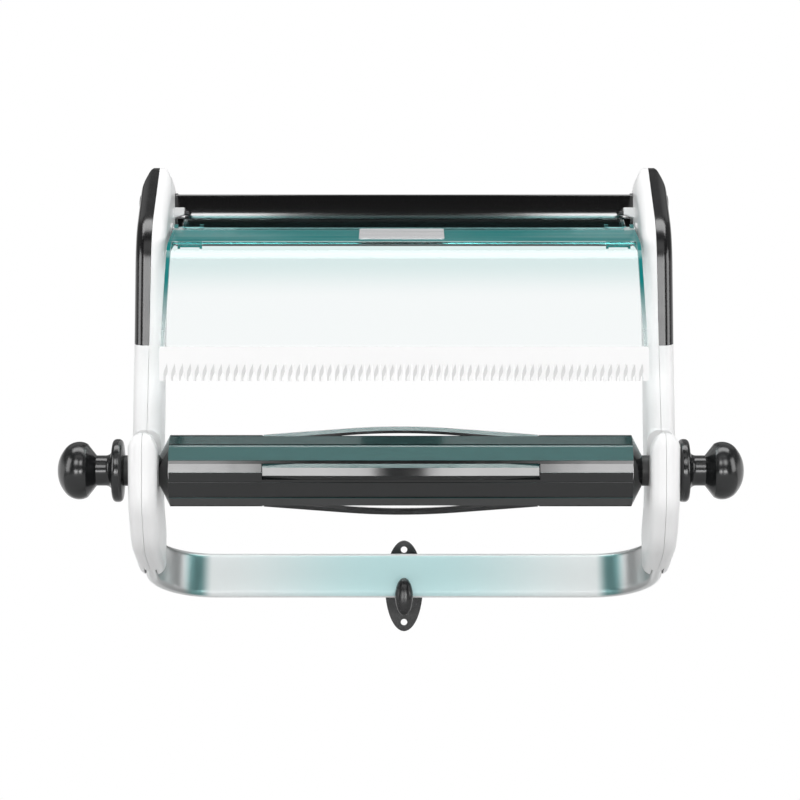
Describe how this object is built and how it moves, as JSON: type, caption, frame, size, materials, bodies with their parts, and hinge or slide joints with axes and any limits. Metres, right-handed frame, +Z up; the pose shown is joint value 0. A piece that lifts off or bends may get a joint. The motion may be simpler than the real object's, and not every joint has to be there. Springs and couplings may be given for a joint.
{
  "type": "wall-mounted paper roll holder",
  "caption": "Wall holder for large paper rolls, with side arms on a crossbar, a bent lower bar on a wall hook, a hinged clear cover with a toothed tear edge and a lift-out spindle.",
  "frame": {"origin": "halfway between the wall hook's screw holes, on the wall plane", "axes": "+X to the right as seen from the front, +Y into the wall, +Z up"},
  "size_m": [0.6458, 0.2776, 0.4662],
  "materials": {
    "white_plastic": "smooth white moulding",
    "black_gloss_plastic": "gloss black",
    "black_aluminium": "satin black anodised",
    "zinc_steel": "zinc plated",
    "satin_aluminium": "satin",
    "black_plastic": "fine matt black",
    "clear_teal_plastic": "clear blue-green sheet",
    "silver_plate": "silver film, blank",
    "bright_steel": "bright",
    "grey_plastic": "plain bearing plastic",
    "spindle_plastic": "gloss black"
  },
  "bodies": {
    "frame": {"crossbar": "black_aluminium", "wall_rail": "zinc_steel", "u_bar": "satin_aluminium", "wall_hook": "black_plastic", "left_end_plate": "black_aluminium", "left_arm_inner_shell": "white_plastic", "left_arm_outer_shell": "white_plastic", "left_arm_trim": "black_gloss_plastic", "left_arm_cap": "black_gloss_plastic", "left_arm_screws": "bright_steel", "left_bar_screws": "bright_steel", "left_stop_pin": "black_plastic", "left_hinge_pin": "bright_steel", "right_end_plate": "black_aluminium", "right_arm_inner_shell": "white_plastic", "right_arm_outer_shell": "white_plastic", "right_arm_trim": "black_gloss_plastic", "right_arm_cap": "black_gloss_plastic", "right_arm_screws": "bright_steel", "right_bar_screws": "bright_steel", "right_stop_pin": "black_plastic", "right_hinge_pin": "bright_steel"},
    "cover": {"cover": "clear_teal_plastic", "cover_plate": "silver_plate", "tear_blade": "white_plastic", "blade_rivets": "bright_steel"},
    "spindle_carrier": {"left_bush": "grey_plastic", "right_bush": "grey_plastic"},
    "spindle": {"spindle_tube": "bright_steel", "spindle_shell_upper": "spindle_plastic", "spindle_shell_lower": "spindle_plastic", "spindle_screws": "bright_steel", "left_knob": "spindle_plastic", "right_knob": "spindle_plastic"},
    "leaf_spring_top": {"leaf_spring_top": "spindle_plastic"},
    "leaf_spring_front": {"leaf_spring_front": "spindle_plastic"},
    "leaf_spring_bottom": {"leaf_spring_bottom": "spindle_plastic"},
    "leaf_spring_back": {"leaf_spring_back": "spindle_plastic"}
  },
  "joints": [
    {"name": "cover_hinge", "type": "hinge", "parent": "frame", "child": "cover", "pos_m": [0, -0.085, 0.358], "axis": [-1, 0, 0], "range_deg": [0, 75]},
    {"name": "spindle_lift", "type": "slide", "parent": "frame", "child": "spindle_carrier", "axis": [0, 0, 1], "range_m": [0, 0.06]},
    {"name": "spindle_turn", "type": "hinge", "parent": "spindle_carrier", "child": "spindle", "pos_m": [0, -0.23, 0.124], "axis": [1, 0, 0], "continuous": true},
    {"name": "leaf_press_top", "type": "slide", "parent": "spindle", "child": "leaf_spring_top", "axis": [0, 0, -1], "range_m": [0, 0.007], "stiffness_N_per_m": 3000},
    {"name": "leaf_press_front", "type": "slide", "parent": "spindle", "child": "leaf_spring_front", "axis": [0, 1, 0], "range_m": [0, 0.007], "stiffness_N_per_m": 3000},
    {"name": "leaf_press_bottom", "type": "slide", "parent": "spindle", "child": "leaf_spring_bottom", "axis": [0, 0, 1], "range_m": [0, 0.007], "stiffness_N_per_m": 3000},
    {"name": "leaf_press_back", "type": "slide", "parent": "spindle", "child": "leaf_spring_back", "axis": [0, -1, 0], "range_m": [0, 0.007], "stiffness_N_per_m": 3000}
  ]
}
